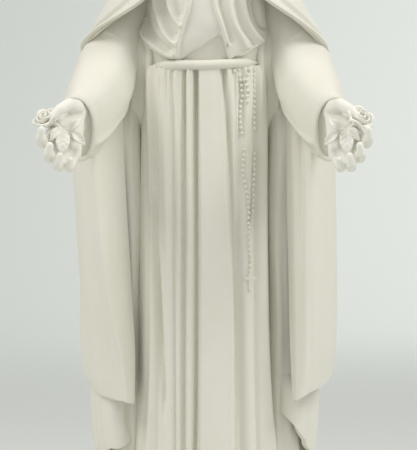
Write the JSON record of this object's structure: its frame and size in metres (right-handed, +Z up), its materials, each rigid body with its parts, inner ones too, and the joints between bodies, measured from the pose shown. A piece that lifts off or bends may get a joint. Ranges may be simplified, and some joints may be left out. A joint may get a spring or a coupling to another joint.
{
  "type": "madonna statue",
  "caption": "Standing madonna figure in a long mantle, arms held out and down with a rose in each open hand, cast pieces pinned to a moulded oval plinth.",
  "frame": {"origin": "middle of the flat underside of the felt under the plinth", "axes": "+Z up through the figure, the figure faces -Y, +X to the right as seen from the front"},
  "size_m": [0.2614, 0.2005, 0.6],
  "materials": {
    "cast_stone": "matte ivory cast, finely grained",
    "steel": "plain drawn",
    "felt": "pressed felt",
    "cover_board": "raw fibreboard"
  },
  "bodies": {
    "root": {"plinth": "cast_stone", "plinth_cover": "cover_board", "cover_screws": "steel", "felt_pad": "felt", "foot_plate": "cast_stone", "plinth_dowels": "steel", "tunic": "cast_stone", "sash": "cast_stone", "belt": "cast_stone", "bodice": "cast_stone", "head": "cast_stone", "head_dowel": "steel", "hair": "cast_stone", "veil": "cast_stone", "mantle_cape": "cast_stone", "mantle_back": "cast_stone", "mantle_left_front": "cast_stone", "mantle_right_front": "cast_stone", "left_sleeve": "cast_stone", "right_sleeve": "cast_stone", "left_hand": "cast_stone", "right_hand": "cast_stone", "left_hand_dowel": "steel", "right_hand_dowel": "steel", "left_rose_bloom": "cast_stone", "right_rose_bloom": "cast_stone", "left_rose_stem": "cast_stone", "right_rose_stem": "cast_stone", "rosary_inner_strand": "cast_stone", "rosary_outer_strand": "cast_stone", "rosary_drop": "cast_stone", "rosary_cross": "cast_stone"}
  },
  "joints": []
}
